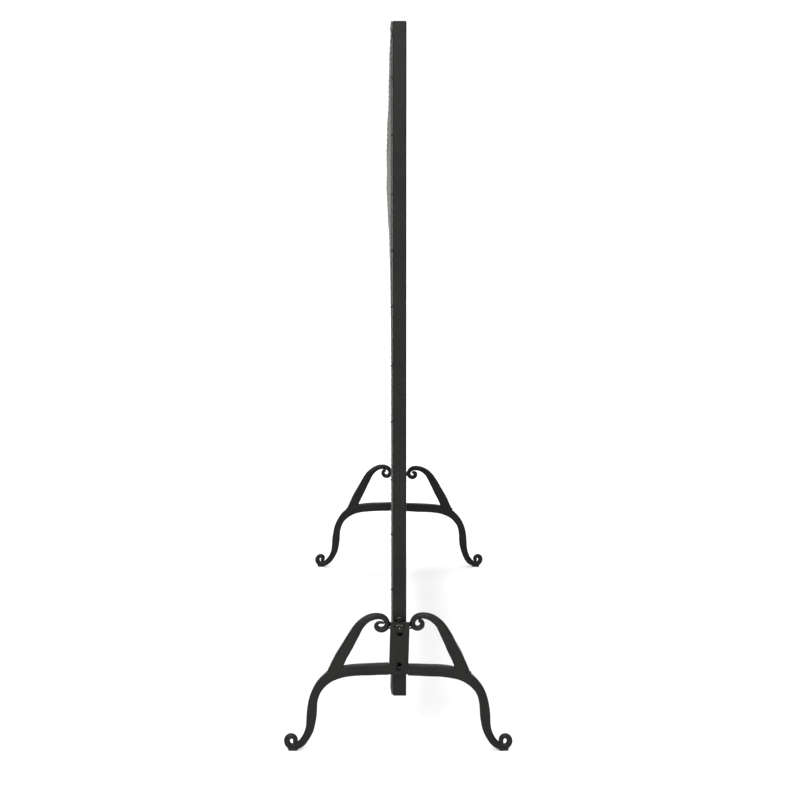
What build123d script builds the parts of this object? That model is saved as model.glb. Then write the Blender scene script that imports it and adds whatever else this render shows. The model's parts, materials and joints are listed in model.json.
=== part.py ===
from build123d import *
from math import hypot
import os

# A free-standing woven-wire display panel: a mitred square-tube frame held up by two forged,
# scroll-footed stands, one screwed to each end. Millimetres, +Z up. X runs along the panel and
# Y across it. The origin is on the floor, midway between the four feet.

# Panel frame
frame_length = 980.0
frame_bottom = 60.5
frame_top = 801.0
tube_size = 15.0
tube_wall = 1.5
tube_corner = 1.4
frame_end = frame_length / 2
frame_back = tube_size / 2

# Woven wire, laid on the back of the frame and held by a flat strip along the top and the bottom
wire_diameter = 1.0
wire_pitch = 6.35
wire_columns = 152
wire_rows = 115
wire_length_x = 970.0
wire_length_z = 731.5
wire_middle_z = (frame_bottom + frame_top) / 2
strip_height = 10.0
strip_thickness = 1.5
strip_inset = 1.0
tack_pitch = 62.0
tack_count = 11
tack_diameter = 5.0
tack_height = 1.8
tack_taper = 30.0
tack_inset = 3.5

# Slotted plate at the middle of each stand
plate_width = 21.4
plate_thickness = 3.0
plate_bottom = 87.6
plate_top = 146.3
plate_corner = 0.8
slot_width = 6.0
upper_slot = (130.6, 143.2)
lower_slot = (91.2, 101.6)

# Forged bars of the stand: a station is (distance out from the plate's middle, height, width)
bar_depth = 11.0
stand_gap = 0.5
stand_outer = frame_end + stand_gap + bar_depth
leg_stations = [
    (10.7, 92.4, 12.0), (30.0, 91.8, 12.0), (50.0, 90.8, 12.0), (61.7, 89.1, 12.0),
    (72.5, 85.5, 11.8), (82.3, 78.7, 10.8), (90.8, 67.3, 9.9), (94.8, 54.2, 10.6),
    (96.1, 41.9, 11.5), (97.2, 31.1, 10.7), (99.5, 21.2, 9.4), (102.7, 14.2, 8.5),
    (106.7, 8.5, 7.9), (110.9, 5.3, 7.2), (115.3, 4.1, 6.2), (119.4, 4.1, 5.8),
    (122.8, 7.0, 5.8), (123.8, 11.0, 5.8), (122.2, 14.4, 5.3), (118.9, 15.8, 4.7),
    (115.9, 14.2, 4.6), (114.9, 11.2, 4.5), (115.1, 8.8, 4.3),
]
brace_stations = [
    (72.5, 88.0, 13.6), (68.2, 97.6, 13.4), (64.1, 106.8, 13.0), (59.2, 115.7, 12.7),
    (54.6, 124.4, 12.1), (50.0, 132.9, 11.3), (46.0, 139.7, 10.1), (40.8, 145.6, 8.7),
    (33.9, 150.2, 7.6), (25.9, 152.2, 7.0), (18.7, 150.9, 6.6), (14.8, 147.0, 6.3),
    (14.0, 142.2, 6.1), (16.3, 138.7, 6.0), (20.1, 137.6, 6.0), (23.8, 139.2, 5.6),
    (25.1, 142.6, 4.9), (23.4, 145.5, 3.9), (20.4, 146.0, 2.8),
]
pad_thickness = 1.2
pad_length = 10.0
pad_middle = 117.2
bead_height = 4.6
bead_bottom = 136.9
bead_reach = 4.0

# Clamping screw, spacer, and the nut plate inside the tube
screw_height = 140.5
shank_diameter = 5.0
shank_length = 20.0
head_diameter = 10.4
head_height = 3.2
head_rim = 1.0
recess_span = 6.2
recess_width = 1.3
recess_depth = 1.9
washer_diameter = 11.4
washer_thickness = 0.8
play = 0.3
thread_clearance = 0.05
hole_spacing = 45.5
rail_hole_diameter = 5.6
nut_plate_width = 10.4
nut_plate_height = 76.0
nut_plate_thickness = 3.0
spacer_diameter = 7.6
spacer_bore = 5.4
rivet_height = 147.3
rivet_head_diameter = 5.6
rivet_head_height = 1.4
rivet_body_diameter = 3.2
rivet_dimple_diameter = 1.9
rivet_dimple_depth = 0.8

lower_hole_height = screw_height - hole_spacing
nut_plate_middle = (screw_height + lower_hole_height) / 2 + 2.0

sides = {"left": -1, "right": 1}
faces = {"front": -1, "back": 1}

os.makedirs("parts", exist_ok=True)


def save(builder, label):
    """Name a finished piece and write it to its own file."""
    builder.part.label = label
    export_step(builder.part, f"parts/{label}.step")


def across(x, z=0.0):
    """A sketch plane square to X at x: its own x is Y and its own y is Z, counted from z."""
    return Plane(origin=(x, 0, z), x_dir=(0, 1, 0), z_dir=(1, 0, 0))


def outward(side, x):
    """A plane square to X at x that faces away from the panel: drawings on it grow outwards."""
    return Plane(origin=(x, 0, 0), x_dir=(0, side, 0), z_dir=(side, 0, 0))


def bar_edges(stations, face):
    """The two long edges of a tapering bar, half its width each side of its centre line."""
    one, other = [], []
    for i, (y, z, width) in enumerate(stations):
        y0, z0, _ = stations[max(i - 1, 0)]
        y1, z1, _ = stations[min(i + 1, len(stations) - 1)]
        along = hypot(y1 - y0, z1 - z0)
        ny, nz = (z1 - z0) / along * width / 2, (y0 - y1) / along * width / 2
        one.append((face * (y + ny), z + nz))
        other.append((face * (y - ny), z - nz))
    return one, other


def draw_bar(stations, side, face):
    """Extrude a tapering bar from the stand's outer face inwards."""
    one, other = bar_edges(stations, face)
    with BuildSketch(across(side * stand_outer)) as outline:
        with BuildLine():
            Spline(*one)
            Spline(*other)
            Line(one[0], other[0])
            Line(one[-1], other[-1])
        make_face()
    extrude(outline.sketch, amount=-side * bar_depth)


def draw_tube(plane, length):
    """Extrude the frame's square tube along a plane's normal."""
    inner = tube_size - 2 * tube_wall
    with BuildSketch(plane) as section:
        RectangleRounded(tube_size, tube_size, tube_corner)
        RectangleRounded(inner, inner, tube_corner / 2, mode=Mode.SUBTRACT)
    extrude(section.sketch, amount=length)


def mitre(x, z, keep_x, keep_z):
    """Cut the tube at 45 degrees through an outer corner of the frame, keeping one side."""
    split(bisect_by=Plane(origin=(x, 0, z), z_dir=(keep_x, 0, keep_z)), keep=Keep.TOP)


# Frame: two side rails and two cross rails, mitred where they meet
rail_middle = frame_end - tube_size / 2
for name, side in sides.items():
    with BuildPart() as side_rail:
        draw_tube(Plane(origin=(side * rail_middle, 0, frame_bottom)), frame_top - frame_bottom)
        mitre(side * frame_end, frame_top, side, -1)
        mitre(side * frame_end, frame_bottom, side, 1)
        with BuildSketch(across(side * frame_end)):
            with Locations((0, screw_height), (0, lower_hole_height)):
                Circle(rail_hole_diameter / 2)
            with Locations((0, rivet_height)):
                Circle(rivet_body_diameter / 2)
        extrude(amount=-side * tube_wall, mode=Mode.SUBTRACT)
    save(side_rail, f"side_rail_{name}")

for name, height, up in [("top_rail", frame_top, 1), ("bottom_rail", frame_bottom, -1)]:
    with BuildPart() as cross_rail:
        draw_tube(across(-frame_end, height - up * tube_size / 2), frame_length)
        mitre(-frame_end, height, 1, up)
        mitre(frame_end, height, -1, up)
    save(cross_rail, name)

# Wire panel: upright wires against the frame, and cross wires laid over them
with BuildPart() as wire_panel:
    upright_y = frame_back + wire_diameter / 2
    with BuildSketch(Plane.XY.offset(wire_middle_z - wire_length_z / 2)):
        with Locations((0, upright_y)):
            with GridLocations(wire_pitch, wire_pitch, wire_columns, 1):
                Circle(wire_diameter / 2)
    extrude(amount=wire_length_z)
    with BuildSketch(across(-wire_length_x / 2)):
        with Locations((upright_y + wire_diameter, wire_middle_z)):
            with GridLocations(wire_pitch, wire_pitch, 1, wire_rows):
                Circle(wire_diameter / 2)
    extrude(amount=wire_length_x)
save(wire_panel, "wire_panel")

strip_back = frame_back + 2 * wire_diameter
strip_middles = {
    "top_strip": frame_top - strip_inset - strip_height / 2,
    "bottom_strip": frame_bottom + strip_inset + strip_height / 2,
}
for name, middle in strip_middles.items():
    with BuildPart() as strip:
        with BuildSketch(across(-wire_length_x / 2)):
            with Locations((strip_back + strip_thickness / 2, middle)):
                RectangleRounded(strip_thickness, strip_height, strip_thickness / 4)
        extrude(amount=wire_length_x)
    save(strip, name)

# Tack welds: a row of small beads that fix the wire's two upright edges to the side rails
with BuildPart() as tack_welds:
    back_plane = Plane(origin=(0, frame_back, wire_middle_z), x_dir=(-1, 0, 0), z_dir=(0, 1, 0))
    with BuildSketch(back_plane):
        with GridLocations(2 * (frame_end - tack_inset), tack_pitch, 2, tack_count):
            Circle(tack_diameter / 2)
    extrude(amount=tack_height, taper=tack_taper)
save(tack_welds, "tack_welds")

# Fixings on each side rail: nut plate and rivet inside, spacer bush outside
for name, side in sides.items():
    inner_wall = side * (frame_end - tube_wall)
    with BuildPart() as nut_plate:
        with BuildSketch(across(inner_wall)):
            with Locations((0, nut_plate_middle)):
                Rectangle(nut_plate_width, nut_plate_height)
            with Locations((0, screw_height), (0, lower_hole_height)):
                Circle(shank_diameter / 2 + thread_clearance, mode=Mode.SUBTRACT)
            with Locations((0, rivet_height)):
                Circle(rivet_body_diameter / 2, mode=Mode.SUBTRACT)
        extrude(amount=-side * nut_plate_thickness)
    save(nut_plate, f"nut_plate_{name}")

    with BuildPart() as rivet:
        with BuildSketch(outward(side, side * frame_end)):
            with Locations((0, rivet_height)):
                Circle(rivet_head_diameter / 2)
        extrude(amount=rivet_head_height)
        head_face = rivet.faces().sort_by(Axis.X)[0 if side < 0 else -1]
        fillet(head_face.edges(), rivet_head_height * 0.6)
        with BuildSketch(outward(side, side * (frame_end + rivet_head_height))):
            with Locations((0, rivet_height)):
                Circle(rivet_dimple_diameter / 2)
        extrude(amount=-rivet_dimple_depth, mode=Mode.SUBTRACT)
        with BuildSketch(outward(side, side * frame_end)):
            with Locations((0, rivet_height)):
                Circle(rivet_body_diameter / 2)
        extrude(amount=-(tube_wall + nut_plate_thickness))
    save(rivet, f"nut_plate_rivet_{name}")

    with BuildPart() as spacer:
        with BuildSketch(outward(side, side * frame_end)):
            with Locations((0, screw_height)):
                Circle(spacer_diameter / 2)
                Circle(spacer_bore / 2, mode=Mode.SUBTRACT)
        extrude(amount=stand_outer - plate_thickness - play - frame_end)
    save(spacer, f"spacer_{name}")

# Stands: plate, legs, braces, foot pads and the beads that tie each scroll to the plate
for name, side in sides.items():
    plate_plane = across(side * stand_outer)
    with BuildPart() as plate:
        with BuildSketch(plate_plane):
            with Locations((0, (plate_top + plate_bottom) / 2)):
                RectangleRounded(plate_width, plate_top - plate_bottom, plate_corner)
            for low, high in (upper_slot, lower_slot):
                with Locations((0, (low + high) / 2)):
                    SlotOverall(high - low, slot_width, rotation=90, mode=Mode.SUBTRACT)
        extrude(amount=-side * plate_thickness)
    save(plate, f"plate_{name}")

    for where, face in faces.items():
        with BuildPart() as foot_pad:
            with BuildSketch(Plane.XY):
                with Locations((side * (stand_outer - bar_depth / 2), face * pad_middle)):
                    RectangleRounded(bar_depth, pad_length, plate_corner)
            extrude(amount=pad_thickness)
        save(foot_pad, f"foot_pad_{name}_{where}")

        with BuildPart() as leg:
            draw_bar(leg_stations, side, face)
            add(plate.part, mode=Mode.SUBTRACT)
            split(bisect_by=Plane.XY.offset(pad_thickness), keep=Keep.TOP)
        save(leg, f"leg_{name}_{where}")

        with BuildPart() as brace:
            draw_bar(brace_stations, side, face)
            add(leg.part, mode=Mode.SUBTRACT)
        save(brace, f"brace_{name}_{where}")

        with BuildPart() as scroll_weld:
            with BuildSketch(plate_plane):
                with Locations((face * (plate_width + bead_reach) / 2,
                                bead_bottom + bead_height / 2)):
                    Rectangle(bead_reach, bead_height)
            extrude(amount=-side * plate_thickness)
            add(brace.part, mode=Mode.SUBTRACT)
        save(scroll_weld, f"scroll_weld_{name}_{where}")

# Clamping screws and their washers
for name, side in sides.items():
    washer_plane = outward(side, side * (stand_outer + play))
    with BuildPart() as washer:
        with BuildSketch(washer_plane):
            with Locations((0, screw_height)):
                Circle(washer_diameter / 2)
                Circle(spacer_bore / 2, mode=Mode.SUBTRACT)
        extrude(amount=washer_thickness)
    save(washer, f"washer_{name}")

    head_plane = outward(side, side * (stand_outer + play + washer_thickness))
    with BuildPart() as screw:
        with BuildSketch(head_plane):
            with Locations((0, screw_height)):
                Circle(head_diameter / 2)
        extrude(amount=head_height)
        top_face = screw.faces().sort_by(Axis.X)[0 if side < 0 else -1]
        fillet(top_face.edges(), head_height - head_rim)
        with BuildSketch(head_plane):
            with Locations((0, screw_height)):
                Circle(shank_diameter / 2)
        extrude(amount=-shank_length)
        with BuildSketch(head_plane.offset(head_height)):
            with Locations((0, screw_height)):
                Rectangle(recess_span, recess_width)
                Rectangle(recess_width, recess_span)
        extrude(amount=-recess_depth, mode=Mode.SUBTRACT)
    save(screw, f"screw_{name}")
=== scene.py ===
"""A free-standing woven-wire display panel in a black tube frame on two scroll-footed stands.

Metres throughout, +Z up, X along the panel and Y across it, the wire on the +Y face.
"""
import json
import math

import bmesh
import bpy
import numpy as np
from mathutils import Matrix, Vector, noise
from mathutils.bvhtree import BVHTree


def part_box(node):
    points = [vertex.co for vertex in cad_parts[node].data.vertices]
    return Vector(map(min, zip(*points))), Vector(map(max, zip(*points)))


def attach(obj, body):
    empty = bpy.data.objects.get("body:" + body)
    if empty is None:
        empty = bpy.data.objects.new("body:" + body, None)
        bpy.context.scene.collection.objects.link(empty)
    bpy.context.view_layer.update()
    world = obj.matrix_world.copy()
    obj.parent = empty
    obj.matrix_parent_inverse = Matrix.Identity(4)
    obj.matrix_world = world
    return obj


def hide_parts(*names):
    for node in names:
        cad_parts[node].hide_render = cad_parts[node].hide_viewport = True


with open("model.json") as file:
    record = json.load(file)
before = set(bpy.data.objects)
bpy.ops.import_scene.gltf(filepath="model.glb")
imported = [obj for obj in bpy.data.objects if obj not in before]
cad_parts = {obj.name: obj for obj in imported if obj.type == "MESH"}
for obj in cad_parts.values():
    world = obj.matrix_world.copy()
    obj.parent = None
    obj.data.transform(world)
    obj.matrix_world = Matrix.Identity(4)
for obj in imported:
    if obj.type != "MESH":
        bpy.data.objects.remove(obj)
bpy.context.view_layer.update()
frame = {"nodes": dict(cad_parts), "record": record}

MM = 0.001
# Which way each end of the panel (X) and each face of it (Y) points from the middle.
SIDES = {"left": -1, "right": 1}
FACES = {"front": -1, "back": 1}


# ---------------------------------------------------------------- materials

def new_material(name):
    """An empty node material: its tree, its Principled shader and its object coordinates."""
    material = bpy.data.materials.new(name)
    material.use_nodes = True
    tree = material.node_tree
    tree.nodes.clear()
    output = tree.nodes.new("ShaderNodeOutputMaterial")
    shader = tree.nodes.new("ShaderNodeBsdfPrincipled")
    tree.links.new(shader.outputs["BSDF"], output.inputs["Surface"])
    where = tree.nodes.new("ShaderNodeTexCoord").outputs["Object"]
    return material, tree, shader, where


def add_noise(tree, where, scale, detail=3.0, roughness=0.55):
    """A noise texture's factor; scale is in features per metre."""
    node = tree.nodes.new("ShaderNodeTexNoise")
    node.inputs["Scale"].default_value = scale
    node.inputs["Detail"].default_value = detail
    node.inputs["Roughness"].default_value = roughness
    tree.links.new(where, node.inputs["Vector"])
    return node.outputs["Fac"]


def add_ramp(tree, factor, stops):
    """A colour ramp over (position, colour) stops."""
    node = tree.nodes.new("ShaderNodeValToRGB")
    ramp = node.color_ramp
    while len(ramp.elements) < len(stops):
        ramp.elements.new(0.5)
    for element, (position, colour) in zip(ramp.elements, stops):
        element.position = position
        element.color = (*colour, 1.0)
    tree.links.new(factor, node.inputs["Fac"])
    return node.outputs["Color"]


def add_range(tree, factor, low, high):
    """The factor's middle band spread from low to high."""
    node = tree.nodes.new("ShaderNodeMapRange")
    node.inputs["From Min"].default_value = 0.3
    node.inputs["From Max"].default_value = 0.7
    node.inputs["To Min"].default_value = low
    node.inputs["To Max"].default_value = high
    tree.links.new(factor, node.inputs["Value"])
    return node.outputs["Result"]


def add_bump(tree, height, distance, before=None):
    """A bump of that height in metres, on top of an earlier bump."""
    node = tree.nodes.new("ShaderNodeBump")
    node.inputs["Strength"].default_value = 1.0
    node.inputs["Distance"].default_value = distance
    tree.links.new(height, node.inputs["Height"])
    if before is not None:
        tree.links.new(before, node.inputs["Normal"])
    return node.outputs["Normal"]


def mix_colour(tree, factor, first, second):
    """A colour that goes from first to second as the factor goes from 0 to 1."""
    node = tree.nodes.new("ShaderNodeMix")
    node.data_type = "RGBA"
    tree.links.new(factor, node.inputs["Factor"])
    tree.links.new(first, node.inputs["A"])
    tree.links.new(second, node.inputs["B"])
    return node.outputs["Result"]


def paint_material(name, dark, light, rough, grain, hammer=0.0, dust_and_glints=0.0, specular=0.5):
    """Paint: mottled from dark to light, uneven sheen, fine grain, hammer marks, pale specks.

    grain and hammer are bump heights in metres; the speck amount is how pale the specks are, which
    are wear on the paints and painted glints on the fixings.
    """
    material, tree, shader, where = new_material(name)
    mottle = add_noise(tree, where, 38.0, detail=5.0)
    colour = add_ramp(tree, mottle, [(0.32, dark), (0.68, light)])
    if dust_and_glints > 0:
        specks = add_noise(tree, where, 900.0, detail=2.0)
        pale_specks = add_ramp(tree, specks, [(0.66, (0, 0, 0)), (0.74, (dust_and_glints, dust_and_glints, dust_and_glints))])
        paler = add_ramp(tree, mottle, [(0.0, (0.16, 0.155, 0.15)), (1.0, (0.2, 0.19, 0.18))])
        colour = mix_colour(tree, pale_specks, colour, paler)
    tree.links.new(colour, shader.inputs["Base Color"])
    sheen = add_noise(tree, where, 95.0, detail=4.0)
    tree.links.new(add_range(tree, sheen, rough[0], rough[1]), shader.inputs["Roughness"])
    normal = add_bump(tree, add_noise(tree, where, 1500.0, detail=2.0), grain)
    if hammer > 0:
        normal = add_bump(tree, add_noise(tree, where, 130.0, detail=1.5), hammer, normal)
    tree.links.new(normal, shader.inputs["Normal"])
    shader.inputs["Specular IOR Level"].default_value = specular
    return material


# How far from the panel's middle the wire's black painted shade by the side rails begins and is
# full.
RAIL_SHADE_BEGINS = 0.466
RAIL_SHADE_FULL = 0.474


def paint_wire_shade(material, painted, bare):
    """Paint shade into a material: its own colour only where it faces the wire side (+Y), clear of
    the side rails.

    It is black painted shade where the normal's Y is below painted, and its own colour from bare
    upwards; the black by the side rails is painted shade for the dark gap between wire and rail.
    """
    tree = material.node_tree
    shader = next(n for n in tree.nodes if n.type == "BSDF_PRINCIPLED")
    unshaded_colour = shader.inputs["Base Color"].links[0].from_socket
    coordinates = tree.nodes.new("ShaderNodeTexCoord")
    split = tree.nodes.new("ShaderNodeSeparateXYZ")
    tree.links.new(coordinates.outputs["Normal"], split.inputs["Vector"])
    reach = tree.nodes.new("ShaderNodeMapRange")
    reach.inputs["From Min"].default_value = painted
    reach.inputs["From Max"].default_value = bare
    tree.links.new(split.outputs["Y"], reach.inputs["Value"])
    place = tree.nodes.new("ShaderNodeSeparateXYZ")
    tree.links.new(coordinates.outputs["Object"], place.inputs["Vector"])
    from_middle = tree.nodes.new("ShaderNodeMath")
    from_middle.operation = "ABSOLUTE"
    tree.links.new(place.outputs["X"], from_middle.inputs[0])
    clear_of_rails = tree.nodes.new("ShaderNodeMapRange")
    clear_of_rails.inputs["From Min"].default_value = RAIL_SHADE_FULL
    clear_of_rails.inputs["From Max"].default_value = RAIL_SHADE_BEGINS
    tree.links.new(from_middle.outputs["Value"], clear_of_rails.inputs["Value"])
    both = tree.nodes.new("ShaderNodeMath")
    both.operation = "MULTIPLY"
    tree.links.new(reach.outputs["Result"], both.inputs[0])
    tree.links.new(clear_of_rails.outputs["Result"], both.inputs[1])
    # Black painted shade for the wire's faces turned away from the light and for the gap by the
    # rails.
    black = add_ramp(tree, add_noise(tree, coordinates.outputs["Object"], 60.0, detail=3.0),
                     [(0.3, (0.004, 0.004, 0.0036)), (0.7, (0.012, 0.012, 0.011))])
    tree.links.new(mix_colour(tree, both.outputs["Value"], black, unshaded_colour),
                   shader.inputs["Base Color"])


def steel_material(name, dark, light, rough):
    """Bare steel with a fine grain and mottling."""
    material, tree, shader, where = new_material(name)
    mottle = add_noise(tree, where, 300.0, detail=5.0)
    colour = add_ramp(tree, mottle, [(0.3, dark), (0.7, light)])
    tree.links.new(colour, shader.inputs["Base Color"])
    tree.links.new(add_range(tree, mottle, rough[0], rough[1]), shader.inputs["Roughness"])
    normal = add_bump(tree, add_noise(tree, where, 2500.0), 0.00002)
    tree.links.new(normal, shader.inputs["Normal"])
    shader.inputs["Metallic"].default_value = 1.0
    return material


def floor_material():
    """Matt white paper with the faintest unevenness."""
    material, tree, shader, where = new_material("studio_floor")
    mottle = add_noise(tree, where, 1.5, detail=2.0)
    tree.links.new(add_ramp(tree, mottle, [(0.0, (0.9, 0.9, 0.9)), (1.0, (0.93, 0.93, 0.93))]),
                   shader.inputs["Base Color"])
    shader.inputs["Roughness"].default_value = 1.0
    shader.inputs["Specular IOR Level"].default_value = 0.0
    return material


tube_paint = paint_material(
    "satin_black_tube_paint", (0.0031, 0.0031, 0.0026), (0.0062, 0.0062, 0.0053),
    rough=(0.36, 0.46), grain=0.00001, dust_and_glints=0.05, specular=0.16)
forged_paint = paint_material(
    "satin_black_forged_paint", (0.0032, 0.0032, 0.0027), (0.0068, 0.0068, 0.0058),
    rough=(0.3, 0.44), grain=0.000012, hammer=0.0004, dust_and_glints=0.06, specular=0.18)
# The wire's own weathered colour; painted shade is added to it just below.
wire_paint = paint_material(
    "weathered_wire_with_painted_shade", (0.05, 0.046, 0.038), (0.115, 0.106, 0.09),
    rough=(0.22, 0.4), grain=0.000006, specular=0.7)
# Painted shade: the wire is black on its faces towards -Y and next to the side rails.
paint_wire_shade(wire_paint, painted=-0.35, bare=0.15)
hem_paint = paint_material(
    "worn_hem_finish", (0.026, 0.026, 0.025), (0.05, 0.05, 0.048),
    rough=(0.3, 0.42), grain=0.00001, dust_and_glints=0.1, specular=0.4)
weld_paint = paint_material(
    "black_paint_over_weld", (0.005, 0.005, 0.0046), (0.013, 0.013, 0.012),
    rough=(0.2, 0.36), grain=0.00003, hammer=0.0003, specular=0.28)
# Its pale specks are painted glints on the screw and rivet heads.
screw_finish = paint_material(
    "black_plated_fixings", (0.002, 0.002, 0.0012), (0.005, 0.005, 0.0035),
    rough=(0.2, 0.3), grain=0.000008, dust_and_glints=0.3, specular=0.22)
# Bright steel for the painted glints on the screw and rivet heads.
glint_steel = steel_material(
    "painted_glint_steel", (0.2, 0.2, 0.175), (0.36, 0.36, 0.32), rough=(0.25, 0.4))
inner_steel = steel_material(
    "plain_steel", (0.35, 0.35, 0.36), (0.5, 0.5, 0.5), rough=(0.3, 0.45))
pad_rubber = paint_material(
    "black_rubber", (0.008, 0.008, 0.008), (0.015, 0.015, 0.015),
    rough=(0.7, 0.85), grain=0.00003, specular=0.2)

SLOT_MATERIALS = {
    "frame_paint": tube_paint,
    "forged_paint": forged_paint,
    "wire_paint": wire_paint,
    "fixings": screw_finish,
    "inner_steel": inner_steel,
    "foot_rubber": pad_rubber,
}

for part in frame["record"]["subparts"]:
    node = frame["nodes"][part["node"]]
    for holder in node.material_slots:
        holder.material = SLOT_MATERIALS[part["material_slot"]]


# ---------------------------------------------------------------- mesh helpers

def place_piece(name, mesh, body):
    """An object for a finished mesh, riding on a body."""
    piece = bpy.data.objects.new(name, mesh)
    bpy.context.scene.collection.objects.link(piece)
    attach(piece, body)
    return piece


def make_piece(name, points, faces, material, slot, body):
    """A smooth mesh object from points and faces, its faces turned outwards."""
    mesh = bpy.data.meshes.new(name)
    mesh.from_pydata([tuple(p) for p in points], [], [tuple(f) for f in faces])
    work = bmesh.new()
    work.from_mesh(mesh)
    bmesh.ops.recalc_face_normals(work, faces=work.faces)
    work.to_mesh(mesh)
    work.free()
    mesh.materials.append(material)
    mesh.polygons.foreach_set("use_smooth", [True] * len(mesh.polygons))
    mesh.set_sharp_from_angle(angle=math.radians(50))
    return place_piece(name, mesh, body)


def soft_edged(name, node, material, body, width):
    """A copy of a CAD node with its sharp edges rounded off, in that node's place."""
    mesh = frame["nodes"][node].data.copy()
    mesh.name = name
    work = bmesh.new()
    work.from_mesh(mesh)
    bmesh.ops.remove_doubles(work, verts=work.verts, dist=0.001 * MM)
    bmesh.ops.dissolve_limit(work, angle_limit=math.radians(1),
                             verts=work.verts, edges=work.edges)
    work.to_mesh(mesh)
    work.free()
    mesh.materials.clear()
    mesh.materials.append(material)
    mesh.polygons.foreach_set("use_smooth", [True] * len(mesh.polygons))
    piece = place_piece(name, mesh, body)
    bevel = piece.modifiers.new("soft_edges", "BEVEL")
    bevel.width = width
    bevel.segments = 3
    bevel.limit_method = "ANGLE"
    bevel.angle_limit = math.radians(40)
    bevel.harden_normals = True
    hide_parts(node)
    return piece


def tube_faces(rings, sides, start=0):
    """Quads between successive rings of points, with a cap at each end."""
    index = start + np.arange(rings * sides).reshape(rings, sides)
    a, b = index[:-1], np.roll(index[:-1], -1, axis=1)
    c, d = np.roll(index[1:], -1, axis=1), index[1:]
    quads = np.stack([a, b, c, d], axis=-1).reshape(-1, 4).tolist()
    return quads + [index[0][::-1].tolist(), index[-1].tolist()]


def loft(sections):
    """Points and faces of a skin over closed sections that all have the same number of points."""
    sections = np.array(sections)
    return sections.reshape(-1, 3), tube_faces(len(sections), sections.shape[1])


def merge(shapes):
    """Several shapes as one list of points and one of faces."""
    points, faces = [], []
    for shape_points, shape_faces in shapes:
        start = len(points)
        points += [tuple(p) for p in shape_points]
        faces += [[start + i for i in face] for face in shape_faces]
    return points, faces


def ease(value, low, high):
    """0 below low, 1 above high, and a smooth rise between."""
    t = np.clip((value - low) / (high - low), 0, 1)
    return t * t * (3 - 2 * t)


# ---------------------------------------------------------------- woven wire

WIRE = 0.98 * MM
PITCH = 6.35 * MM
WIRE_SIDES = 5
COLUMNS = 152
ROWS = 115
panel_low, panel_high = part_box("wire_panel")
middle_z = (panel_low.z + panel_high.z) / 2
weave_y = (panel_low.y + panel_high.y) / 2
column_x = (np.arange(COLUMNS) - (COLUMNS - 1) / 2) * PITCH
row_z = middle_z + (np.arange(ROWS) - (ROWS - 1) / 2) * PITCH

# The slack wire's belly, in metres up and in mm away from the panel's flat plane.
BELLY_Z = 0.634
BELLY_REACH = 0.078
BELLY_OUT = 4.2
# Over this band of heights the wire comes away from the side rails as well.
LOOSE_FROM = 0.42
LOOSE_BY = 0.56
OFF_RAIL = 1.2


def edge_window(value, low, high, reach):
    """0 on the panel's edge, 1 once past reach from it."""
    inside = np.clip(np.minimum(value - low, high - value) / reach, 0, 1)
    return inside * inside * (3 - 2 * inside)


def billow(x, z):
    """How far the slack wire stands away from its flat plane: a belly high up, and ripples."""
    held = (edge_window(x, panel_low.x, panel_high.x, 0.3)
            * edge_window(z, panel_low.z, panel_high.z, 0.04))
    belly = BELLY_OUT * np.exp(-np.abs((z - BELLY_Z) / BELLY_REACH) ** 3)
    belly = belly + np.clip((z - LOOSE_FROM) / 0.15, 0, 1)
    belly = belly + 0.9 * np.clip((z - 0.69) / 0.05, 0, 1)
    ripple = 0.3 * np.sin(z / 0.0105 + 2.6 * np.sin(x * 7.3)) * np.cos(x * 11.3 + 0.4)
    ripple = ripple + 0.2 * np.sin(z / 0.0063 + x * 9.0 + 1.0)
    off_rail = OFF_RAIL * ease(z, LOOSE_FROM, LOOSE_BY)
    off_rail = off_rail * edge_window(z, panel_low.z, panel_high.z, 0.02)
    off_rail = off_rail * (0.3 + 0.7 * edge_window(x, panel_low.x, panel_high.x, 0.05))
    return (held * (belly + ripple * np.clip((z - 0.3) / 0.2, 0.3, 1)) + off_rail) * MM


def weave(name, upright):
    """All the wires that run one way, each bent over one crossing wire and under the next."""
    if upright:
        fixed, crossings, ends = column_x, row_z, (panel_low.z, panel_high.z)
        fixed_axis, run_axis, first_over = 0, 2, 1
    else:
        fixed, crossings, ends = row_z, column_x, (panel_low.x, panel_high.x)
        fixed_axis, run_axis, first_over = 2, 0, -1
    along = np.concatenate([[ends[0]], crossings, [ends[1]]])
    shape = (len(fixed), len(along))
    points = np.zeros((*shape, 3))
    points[..., run_axis] = along
    points[..., fixed_axis] = fixed[:, None]
    parity = np.add.outer(np.arange(len(fixed)), np.arange(len(crossings))) % 2
    swing = np.zeros(shape)
    swing[:, 1:-1] = first_over * (1 - 2 * parity) * WIRE / 2
    points[..., 1] = weave_y + swing + billow(points[..., 0], points[..., 2])
    turn = np.arange(WIRE_SIDES) * 2 * math.pi / WIRE_SIDES
    ring = np.zeros((WIRE_SIDES, 3))
    ring[:, fixed_axis] = np.cos(turn) * WIRE / 2
    ring[:, 1] = np.sin(turn) * WIRE / 2
    vertices = (points[:, :, None, :] + ring).reshape(-1, 3)
    per_wire = len(along) * WIRE_SIDES
    faces = []
    for i in range(len(fixed)):
        faces += tube_faces(len(along), WIRE_SIDES, i * per_wire)
    return make_piece(name, vertices, faces, wire_paint, "wire_paint", "frame")


uprights = weave("woven_wire_uprights", upright=True)
cross_wires = weave("woven_wire_cross", upright=False)
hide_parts("wire_panel")
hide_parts("wire_panel")


# ---------------------------------------------------------------- forged bars

# A stand's bars are this deep along X where they are square, and this deep where drawn out.
STAND_DEPTH = 11.0 * MM
DRAWN_DEPTH = 5.6 * MM

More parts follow.
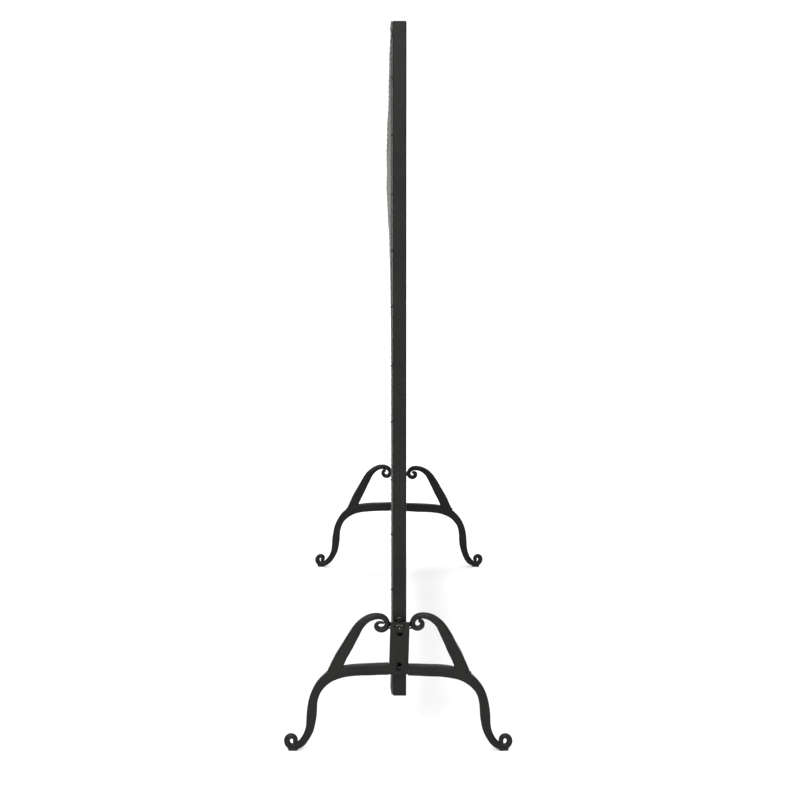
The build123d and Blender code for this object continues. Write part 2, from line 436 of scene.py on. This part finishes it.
# Stations along a bar's centre line: distance out from the panel's middle plane, height, and
# the bar's width across the line, all in mm. A leg starts beside the plate, runs out as half the
# crossbar and turns down to its foot scroll. A brace starts on the crossbar and ends in a curl.
LEG_STATIONS = [
    (10.7, 92.4, 12.0), (30.0, 91.8, 12.0), (50.0, 90.8, 12.0), (61.7, 89.1, 12.0),
    (72.5, 85.5, 11.8), (82.3, 78.7, 10.8), (90.8, 67.3, 9.9), (94.8, 54.2, 10.6),
    (96.1, 41.9, 11.5), (97.2, 31.1, 10.7), (99.5, 21.2, 9.4),
]
BRACE_STATIONS = [
    (72.5, 88.0, 13.6), (68.2, 97.6, 13.4), (64.1, 106.8, 13.0), (59.2, 115.7, 12.7),
    (54.6, 124.4, 12.1), (50.0, 132.9, 11.3), (46.0, 139.7, 10.1), (40.8, 145.6, 8.7),
    (33.9, 150.2, 7.6), (25.9, 152.2, 7.0), (18.7, 150.9, 6.6), (14.8, 147.0, 6.3),
    (14.0, 142.2, 6.1),
]


def smooth_line(stations, step):
    """Points every step or so along the natural cubic spline through the stations, in metres."""
    knots = np.array(stations) * MM
    span = np.linalg.norm(np.diff(knots[:, :2], axis=0), axis=1)
    at = np.concatenate([[0], np.cumsum(span)])
    count = len(at)
    matrix, right = np.eye(count), np.zeros((count, knots.shape[1]))
    for i in range(1, count - 1):
        before, after = span[i - 1], span[i]
        matrix[i, i - 1:i + 2] = before, 2 * (before + after), after
        right[i] = 6 * ((knots[i + 1] - knots[i]) / after - (knots[i] - knots[i - 1]) / before)
    bend = np.linalg.solve(matrix, right)
    fine = np.linspace(0, at[-1], int(at[-1] / step) + 1)
    k = np.clip(np.searchsorted(at, fine, side="right") - 1, 0, count - 2)
    h = span[k][:, None]
    a, b = (at[k + 1] - fine)[:, None], (fine - at[k])[:, None]
    return ((bend[k] * a ** 3 + bend[k + 1] * b ** 3) / (6 * h)
            + (knots[k] / h - bend[k] * h / 6) * a + (knots[k + 1] / h - bend[k + 1] * h / 6) * b)


def rounded_box_ring(half_u, half_v, radius, corner_steps, side_steps):
    """Points round a rectangle with rounded corners, and the outward direction of each."""
    ring, outward = [], []
    corners = [(1, 1, 0), (-1, 1, 90), (-1, -1, 180), (1, -1, 270)]
    for index, (su, sv, turn) in enumerate(corners):
        centre = np.array([su * (half_u - radius), sv * (half_v - radius)])
        for step in range(corner_steps + 1):
            angle = math.radians(turn + 90 * step / corner_steps)
            way = np.array([math.cos(angle), math.sin(angle)])
            ring.append(centre + way * radius)
            outward.append(way)
        nu, nv, next_turn = corners[(index + 1) % 4]
        way = np.array([math.cos(math.radians(next_turn)), math.sin(math.radians(next_turn))])
        goal = np.array([nu * (half_u - radius), nv * (half_v - radius)]) + way * radius
        start = ring[-1]
        for step in range(1, side_steps):
            ring.append(start + (goal - start) * step / side_steps)
            outward.append(way)
    return np.array(ring), np.array(outward)


# How far each stand is out of line with the panel (mm, towards the wire side) at some heights (m).
LEAN_HEIGHTS = [0.0, 0.02, 0.05, 0.085, 0.14, 0.16]
LEANS = {"left": [1.5, 1.4, 1.3, 1.3, -0.5, -0.4], "right": [1.9, 0.6, 0.4, 0.6, 0.4, 0.4]}


def lean(side_name, z):
    """How far a stand is out of line with the panel, at a height."""
    return np.interp(z, LEAN_HEIGHTS, LEANS[side_name]) * MM


def forged_bar(name, node, stations, side_name, face, lift, rise, taper, seed):
    """A hammered bar lofted along its stations, drawn out to a rounded end, in place of a CAD bar.

    Its section goes from square to round, and from STAND_DEPTH to DRAWN_DEPTH, between the two
    shares of its length in taper. It stands lift mm too high, more and more between the two
    heights in rise.
    """
    side = SIDES[side_name]
    line = smooth_line(stations, 0.9 * MM)
    tangent = np.gradient(line[:, :2], axis=0)
    tangent /= np.linalg.norm(tangent, axis=1)[:, None]
    low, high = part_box(node)
    middle_x = (low.x + high.x) / 2
    drawn = ease(np.linspace(0, 1, len(line)), *taper)
    sections = []
    for (y, z, width), (ty, tz), thin in zip(line, tangent, drawn):
        z = z + lift * MM * ease(z, *rise)
        depth = STAND_DEPTH * (1 - thin) + DRAWN_DEPTH * thin
        radius = (0.11 + 0.38 * thin) * min(width, depth)
        section = []
        for (u, v), (ou, ov) in zip(*rounded_box_ring(depth / 2, width / 2, radius, 5, 4)):
            spot = Vector((u / 0.008, y / 0.013 + seed, z / 0.013 + v / 0.009))
            dent = (noise.noise(spot) * 0.3 + noise.noise(spot * 3.1) * 0.1) * MM
            u2, v2 = u + ou * dent, v + ov * dent
            z2 = max(z - ty * v2, low.z)
            section.append((middle_x + side * u2, face * (y + tz * v2) + lean(side_name, z2), z2))
        sections.append(section)
    points, faces = loft(sections)
    piece = make_piece(name, points, faces, forged_paint, "forged_paint", f"stand_{side_name}")
    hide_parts(node)


# The stations of the bars' ends, which differ from one bar to the next: the two stands' feet
# close differently on their legs, and the near stand's back curl is flatter than the others.
FOOT = [
    (102.9, 14.0, 8.9), (107.0, 8.6, 8.6), (111.2, 5.6, 8.0), (115.6, 4.5, 7.3),
    (119.7, 4.8, 7.0), (122.9, 8.0, 7.0), (123.6, 11.9, 6.8), (121.8, 15.2, 6.5),
]
LEG_ENDS = {
    "left": FOOT + [(118.5, 16.4, 6.1), (115.5, 14.9, 5.9), (114.3, 11.8, 5.7),
                    (114.4, 8.8, 5.4), (115.0, 6.2, 4.8)],
    "right": FOOT + [(118.7, 16.3, 6.4), (116.0, 15.0, 6.2), (115.3, 12.2, 5.9),
                     (116.3, 9.9, 5.0), (117.8, 8.8, 3.9)],
}
ROUND_CURL = [(16.3, 138.9, 6.0), (20.0, 138.0, 6.0), (23.6, 139.9, 5.8), (24.6, 143.2, 5.4),
              (22.8, 146.2, 4.8), (20.2, 146.8, 4.0)]
BRACE_ENDS = {
    "left_front": ROUND_CURL,
    "left_back": [(16.5, 138.2, 6.4), (20.6, 136.9, 6.4), (24.9, 138.6, 6.0), (26.2, 142.0, 4.8),
                  (24.0, 144.6, 3.4), (20.4, 145.2, 2.6), (17.4, 144.4, 1.8)],
    "right_front": [(16.3, 138.9, 6.2), (20.2, 137.8, 6.2), (23.6, 139.9, 6.0),
                    (24.2, 143.2, 5.6), (21.8, 145.4, 5.0), (19.8, 144.2, 4.0)],
    "right_back": ROUND_CURL,
}
# How much too high each bar stands (mm), and the heights between which it comes to that (m).
LEG_LIFTS = {"left_front": -0.5, "left_back": 0.5, "right_front": -1.0, "right_back": 0.4}
BRACE_LIFTS = {"left_front": 0.8, "left_back": 0.1, "right_front": -0.8, "right_back": 1.2}
LEG_RISE = (0.055, 0.085)
BRACE_RISE = (0.1, 0.15)
# The shares of its length between which a bar is drawn out.
LEG_TAPER = (0.32, 0.7)
BRACE_TAPER = (0.25, 0.85)

for side_name, side in SIDES.items():
    for face_name, face in FACES.items():
        tag = f"{side_name}_{face_name}"
        forged_bar(f"forged_leg_{tag}", f"leg_{tag}",
                   LEG_STATIONS + LEG_ENDS[side_name], side_name, face,
                   LEG_LIFTS[tag], LEG_RISE, LEG_TAPER, seed=3.7 * side + face)
        forged_bar(f"forged_brace_{tag}", f"brace_{tag}",
                   BRACE_STATIONS + BRACE_ENDS[tag], side_name, face,
                   BRACE_LIFTS[tag], BRACE_RISE, BRACE_TAPER, seed=9.1 * side + 2 * face)


# ---------------------------------------------------------------- welds, plates, pads and strips

BEAD_SIDES = 14
BEAD_STEP = 0.45 * MM
BEAD_RIPPLE = 1.8 * MM


def bead(start, end, radius, seed, flat=(1.0, 1.0, 1.0)):
    """A run of weld between two points: a round-ended rope of overlapping ripples.

    flat squashes it along each axis about its centre line.
    """
    start, end = Vector(start), Vector(end)
    way = (end - start).normalized()
    side_way = way.orthogonal().normalized()
    up_way = way.cross(side_way)
    length = (end - start).length
    count = max(int(length / BEAD_STEP), 10)
    sections = []
    for i in range(count + 1):
        t = i / count
        along = t * length
        ends = math.sqrt(max(1 - (2 * t - 1) ** 6, 0.002))
        ripple = 1 + 0.07 * math.sin(2 * math.pi * along / BEAD_RIPPLE)
        centre = start + way * along
        section = []
        for j in range(BEAD_SIDES):
            turn = 2 * math.pi * j / BEAD_SIDES
            out = side_way * math.cos(turn) + up_way * math.sin(turn)
            spot = (centre + out * radius) / (3.5 * MM) + Vector((seed, 0, 0))
            lump = 1 + 0.18 * noise.noise(spot)
            reach = out * radius * ends * ripple * lump
            section.append([c + r * f for c, r, f in zip(centre, reach, flat)])
        sections.append(section)
    return loft(sections)


def painted_glint_patches(name, node, spots, side, body):
    """Small bright steel patches on a fixing: painted glints where its head shows highlights."""
    mesh = frame["nodes"][node].data
    surface = BVHTree.FromPolygons([v.co for v in mesh.vertices],
                                   [tuple(p.vertices) for p in mesh.polygons])
    shapes = []
    for y, z, length, radius in spots:
        hit = surface.ray_cast(Vector((side, y * MM, z * MM)), Vector((-side, 0, 0)))[0]
        ends = [(hit.x, (y + end * length / 2) * MM, z * MM) for end in (-1, 1)]
        shapes.append(bead(*ends, radius * MM, y + z, flat=(0.3, 1.0, 1.0)))
    make_piece(name, *merge(shapes), glint_steel, "fixings", body)


def bead_pair(name, first, second, body):
    """Two runs of weld as one piece, each given as bead's arguments."""
    return make_piece(name, *merge([bead(*first), bead(*second)]), weld_paint, "forged_paint", body)


# Painted glints on a screw's head and on a rivet's, standing for their highlights: y, z, length
# along y and radius, in mm.
HEAD_Z = 140.5
HEAD_GLINTS = [(3.1, HEAD_Z + 3.2, 0.9, 0.45), (-2.6, HEAD_Z + 3.1, 0.9, 0.4),
              (0.0, HEAD_Z - 0.4, 1.7, 0.5)]
RIVET_Z = 147.3
RIVET_GLINTS = [(2.1, RIVET_Z + 1.1, 0.7, 0.28), (0.1, RIVET_Z + 2.0, 2.2, 0.24),
               (-2.0, RIVET_Z + 1.2, 0.7, 0.28), (0.9, RIVET_Z - 1.3, 0.6, 0.5),
               (-1.0, RIVET_Z - 0.6, 0.5, 0.32)]
# A rubber foot's outline: heights in mm, and its size there as a share of its nominal size.
PAD_PROFILE = [(0.0, 0.9), (0.1, 0.97), (0.5, 1.04), (1.4, 1.16), (2.5, 1.22), (3.3, 1.1)]
stand_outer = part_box("plate_right")[1].x
stand_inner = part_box("leg_right_front")[0].x
stand_middle = (stand_outer + stand_inner) / 2
for side_name, side in SIDES.items():
    body = f"stand_{side_name}"
    plate = soft_edged(f"slotted_plate_{side_name}", f"plate_{side_name}", forged_paint,
                       body, 0.7 * MM)
    for vertex in plate.data.vertices:
        vertex.co.y += lean(side_name, vertex.co.z)
    soft_edged(f"cross_head_screw_{side_name}", f"screw_{side_name}", screw_finish,
               f"screw_{side_name}", 0.14 * MM)
    soft_edged(f"rivet_head_{side_name}", f"nut_plate_rivet_{side_name}", screw_finish,
               "frame", 0.16 * MM)
    # Painted glints: bright patches where the screw and rivet heads show highlights.
    painted_glint_patches(f"head_painted_glints_{side_name}", f"screw_{side_name}", HEAD_GLINTS, side,
               f"screw_{side_name}")
    painted_glint_patches(f"rivet_painted_glints_{side_name}", f"nut_plate_rivet_{side_name}", RIVET_GLINTS, side,
               "frame")
    for face_name, face in FACES.items():
        tag = f"{side_name}_{face_name}"
        # Upright runs between each curl and the plate, and between the crossbar and the plate.
        shallow = side * (stand_outer - 1.2 * MM)
        deep = side * (stand_outer - 8.0 * MM)
        curl_y = face * 11.9 * MM + lean(side_name, 0.14)
        piece = bead_pair(
            f"scroll_bead_{tag}",
            ((deep, curl_y, 139.6 * MM), (deep, curl_y, 145.6 * MM), 1.9 * MM, side),
            ((shallow, curl_y, 138.8 * MM), (shallow, curl_y, 140.6 * MM), 1.5 * MM, face), body)
        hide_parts(f"scroll_weld_{tag}")
        edge_y = face * 10.9 * MM + lean(side_name, 0.092)
        bead_pair(
            f"plate_bead_{tag}",
            ((shallow, edge_y, 88.0 * MM), (shallow, edge_y, 96.0 * MM), 1.3 * MM, side + face),
            ((deep, edge_y, 87.4 * MM), (deep, edge_y, 97.6 * MM), 1.9 * MM, side - face), body)
        # Runs through the stand's depth, outside and inside the foot of each brace.
        inner_x = side * (stand_inner + 1.6 * MM)
        outer_x = side * (stand_outer - 1.6 * MM)
        outside_y = face * 78.6 * MM + lean(side_name, 0.0886)
        inside_y = face * 63.0 * MM + lean(side_name, 0.096)
        bead_pair(
            f"brace_bead_{tag}",
            ((inner_x, outside_y, 88.0 * MM), (outer_x, outside_y, 88.0 * MM), 2.0 * MM, side),
            ((inner_x, inside_y, 95.6 * MM), (outer_x, inside_y, 95.6 * MM), 1.5 * MM, face), body)

        pad_low, pad_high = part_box(f"foot_pad_{tag}")
        pad_y = (pad_low.y + pad_high.y) / 2 - face * 0.2 * MM + lean(side_name, 0)
        pad_sections = []
        for height, grow in PAD_PROFILE:
            ring, _ = rounded_box_ring(3.2 * MM * grow, 4.6 * MM * grow, 1.6 * MM * grow, 5, 3)
            pad_sections.append([(side * stand_middle + u, pad_y + v, height * MM)
                                 for u, v in ring])
        piece = make_piece(f"rubber_foot_{tag}", *loft(pad_sections), pad_rubber, "foot_rubber",
                           body)
        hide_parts(f"foot_pad_{tag}")

# The wire's upright edges are tacked to the back corners of the side rails.
TACKS = 11
tack_low, tack_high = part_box("tack_welds")
tack_shapes = []
for side in SIDES.values():
    for i in range(TACKS):
        height = tack_low.z + (tack_high.z - tack_low.z) * i / (TACKS - 1)
        height += 3 * MM * noise.noise(Vector((i * 1.7, side * 5.0, 0.5)))
        height = min(max(height, tack_low.z + 2 * MM), tack_high.z - 2 * MM)
        x = side * (tack_high.x - 1.9 * MM)
        tack_shapes.append(bead(
            (x, 6.9 * MM, height - 1.4 * MM), (x, 8.7 * MM, height + 0.9 * MM), 2.2 * MM,
            i + 20 * side, flat=(1.2, 1.0, 1.0)))
tacks = make_piece("tack_beads", *merge(tack_shapes), weld_paint, "wire_paint", "frame")
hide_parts("tack_welds")


# A hem's section: Y, and depth in from the rail's outer edge, in mm.
HEM_OUTLINE = [(7.55, 0.2), (8.5, 0.1), (9.1, 0.5), (9.6, 3.5), (10.25, 8.6), (10.35, 9.9),
               (10.1, 10.3), (9.3, 10.4), (8.4, 10.4), (7.55, 10.3)]


def hem_strip(name, node, outer_z, toward):
    """A hem folded over the ends of the wires, its free edge a little wavy."""
    low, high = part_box(node)
    sections = []
    for x in np.linspace(low.x, high.x, 98):
        wave = 0.25 * noise.noise(Vector((x * 21, outer_z * 9, 0)))
        sections.append([(x, (y + wave * depth / 10) * MM, outer_z + toward * depth * MM)
                         for y, depth in HEM_OUTLINE])
    piece = make_piece(name, *loft(sections), hem_paint, "frame_paint", "frame")
    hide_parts(node)


hem_strip("top_hem", "top_strip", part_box("top_rail")[1].z, -1)
hem_strip("bottom_hem", "bottom_strip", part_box("bottom_rail")[0].z, 1)


# ---------------------------------------------------------------- studio

def add_area(name, place, target, size, power):
    """A soft rectangular light of that size, aimed at a point."""
    data = bpy.data.lights.new(name, "AREA")
    data.shape = "RECTANGLE"
    data.size, data.size_y = size
    data.energy = power
    light = bpy.data.objects.new(name, data)
    bpy.context.scene.collection.objects.link(light)
    light.location = place
    light.rotation_euler = (Vector(target) - Vector(place)).to_track_quat("-Z", "Y").to_euler()


def studio_world(seen, lit, sides):
    """A white surround with strength seen behind the object, and lit as light on the object.

    The light falls to sides towards either side of the view (+Y and -Y).
    """
    world = bpy.data.worlds.new("studio_world")
    world.use_nodes = True
    tree = world.node_tree
    paths = tree.nodes.new("ShaderNodeLightPath")
    level = tree.nodes.new("ShaderNodeMapRange")
    split = tree.nodes.new("ShaderNodeSeparateXYZ")
    direction = tree.nodes.new("ShaderNodeTexCoord").outputs["Generated"]
    tree.links.new(direction, split.inputs["Vector"])
    sideways = tree.nodes.new("ShaderNodeMath")
    sideways.operation = "ABSOLUTE"
    tree.links.new(split.outputs["Y"], sideways.inputs[0])
    light_level = tree.nodes.new("ShaderNodeMapRange")
    light_level.inputs["From Min"].default_value = 0.4
    light_level.inputs["From Max"].default_value = 0.95
    light_level.inputs["To Min"].default_value = lit
    light_level.inputs["To Max"].default_value = sides
    tree.links.new(sideways.outputs["Value"], light_level.inputs["Value"])
    tree.links.new(light_level.outputs["Result"], level.inputs["To Min"])
    level.inputs["To Max"].default_value = seen
    tree.links.new(paths.outputs["Is Camera Ray"], level.inputs["Value"])
    tree.links.new(level.outputs["Result"], tree.nodes["Background"].inputs["Strength"])
    tree.nodes["Background"].inputs["Color"].default_value = (1.0, 1.0, 1.0, 1.0)
    return world


FLOOR_HALF = 40.0
floor_mesh = bpy.data.meshes.new("studio_floor")
floor_mesh.from_pydata([(-FLOOR_HALF, -FLOOR_HALF, 0), (FLOOR_HALF, -FLOOR_HALF, 0),
                        (FLOOR_HALF, FLOOR_HALF, 0), (-FLOOR_HALF, FLOOR_HALF, 0)],
                       [], [(0, 1, 2, 3)])
floor_mesh.materials.append(floor_material())
studio_floor = bpy.data.objects.new("studio_floor", floor_mesh)
bpy.context.scene.collection.objects.link(studio_floor)

bpy.context.scene.world = studio_world(seen=1.1, lit=0.58, sides=0.08)
bpy.context.scene.view_settings.view_transform = "Standard"

sun_data = bpy.data.lights.new("overhead", "SUN")
sun_data.energy = 2.9
sun_data.angle = math.radians(100)
overhead = bpy.data.objects.new("overhead", sun_data)
bpy.context.scene.collection.objects.link(overhead)
overhead.rotation_euler = Vector((0.1, 0.0, -1.0)).to_track_quat("-Z", "Y").to_euler()
add_area("high_softbox", place=(-3.5, 0.6, 1.75), target=(0, 0, 0.8), size=(1.6, 1.0), power=80)

# The camera looks along the panel from its left end, a little downwards.
CAMERA_PITCH = math.radians(7.91)
camera_data = bpy.data.cameras.new("camera")
camera_data.sensor_width = 36.0
camera_data.lens = 108.7
camera = bpy.data.objects.new("camera", camera_data)
bpy.context.scene.collection.objects.link(camera)
camera.location = (-3.1017, -0.0005, 0.7549)
look = Vector((math.cos(CAMERA_PITCH), 0, -math.sin(CAMERA_PITCH)))
camera.rotation_euler = look.to_track_quat("-Z", "Y").to_euler()
bpy.context.scene.camera = camera
